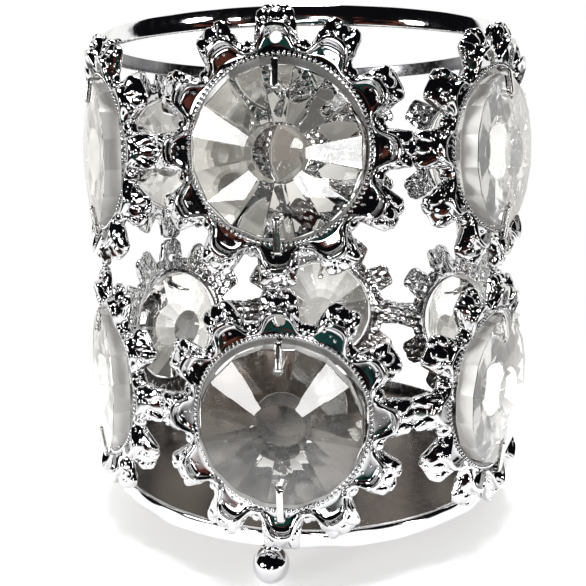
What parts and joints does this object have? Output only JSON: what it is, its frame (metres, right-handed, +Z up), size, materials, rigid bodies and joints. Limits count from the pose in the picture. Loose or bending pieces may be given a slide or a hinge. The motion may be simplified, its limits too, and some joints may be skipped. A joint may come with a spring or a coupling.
{
  "type": "crystal candle holder",
  "caption": "Open cylindrical candle holder: a plated cage of lobed settings with cut-glass crystals between two hoops, with a metal floor and ball feet.",
  "frame": {"origin": "middle of the cage's axis, on the surface that the ball feet stand on", "axes": "+Z up along the cage's axis, -Y through the middle of the front column of crystals"},
  "size_m": [0.1006, 0.1016, 0.1052],
  "materials": {
    "chrome": "bright nickel or chrome plate on a lumpy cast or bent strip base",
    "wire": "flat plated retaining wire, slightly duller than the castings",
    "crystal": "clear cut glass with polished flat facets",
    "plate": "plated sheet metal floor, darker than the cage"
  },
  "bodies": {
    "root": {"top_hoop": "chrome", "bottom_hoop": "chrome", "ball_feet": "chrome", "setting_lower_1": "chrome", "setting_lower_2": "chrome", "setting_lower_3": "chrome", "setting_lower_4": "chrome", "setting_lower_5": "chrome", "setting_lower_6": "chrome", "setting_upper_1": "chrome", "setting_upper_2": "chrome", "setting_upper_3": "chrome", "setting_upper_4": "chrome", "setting_upper_5": "chrome", "setting_upper_6": "chrome", "wires_lower_1": "wire", "wires_lower_2": "wire", "wires_lower_3": "wire", "wires_lower_4": "wire", "wires_lower_5": "wire", "wires_lower_6": "wire", "wires_upper_1": "wire", "wires_upper_2": "wire", "wires_upper_3": "wire", "wires_upper_4": "wire", "wires_upper_5": "wire", "wires_upper_6": "wire", "crystal_lower_1": "crystal", "crystal_lower_2": "crystal", "crystal_lower_3": "crystal", "crystal_lower_4": "crystal", "crystal_lower_5": "crystal", "crystal_lower_6": "crystal", "crystal_upper_1": "crystal", "crystal_upper_2": "crystal", "crystal_upper_3": "crystal", "crystal_upper_4": "crystal", "crystal_upper_5": "crystal", "crystal_upper_6": "crystal", "base_plate": "plate"}
  },
  "joints": []
}
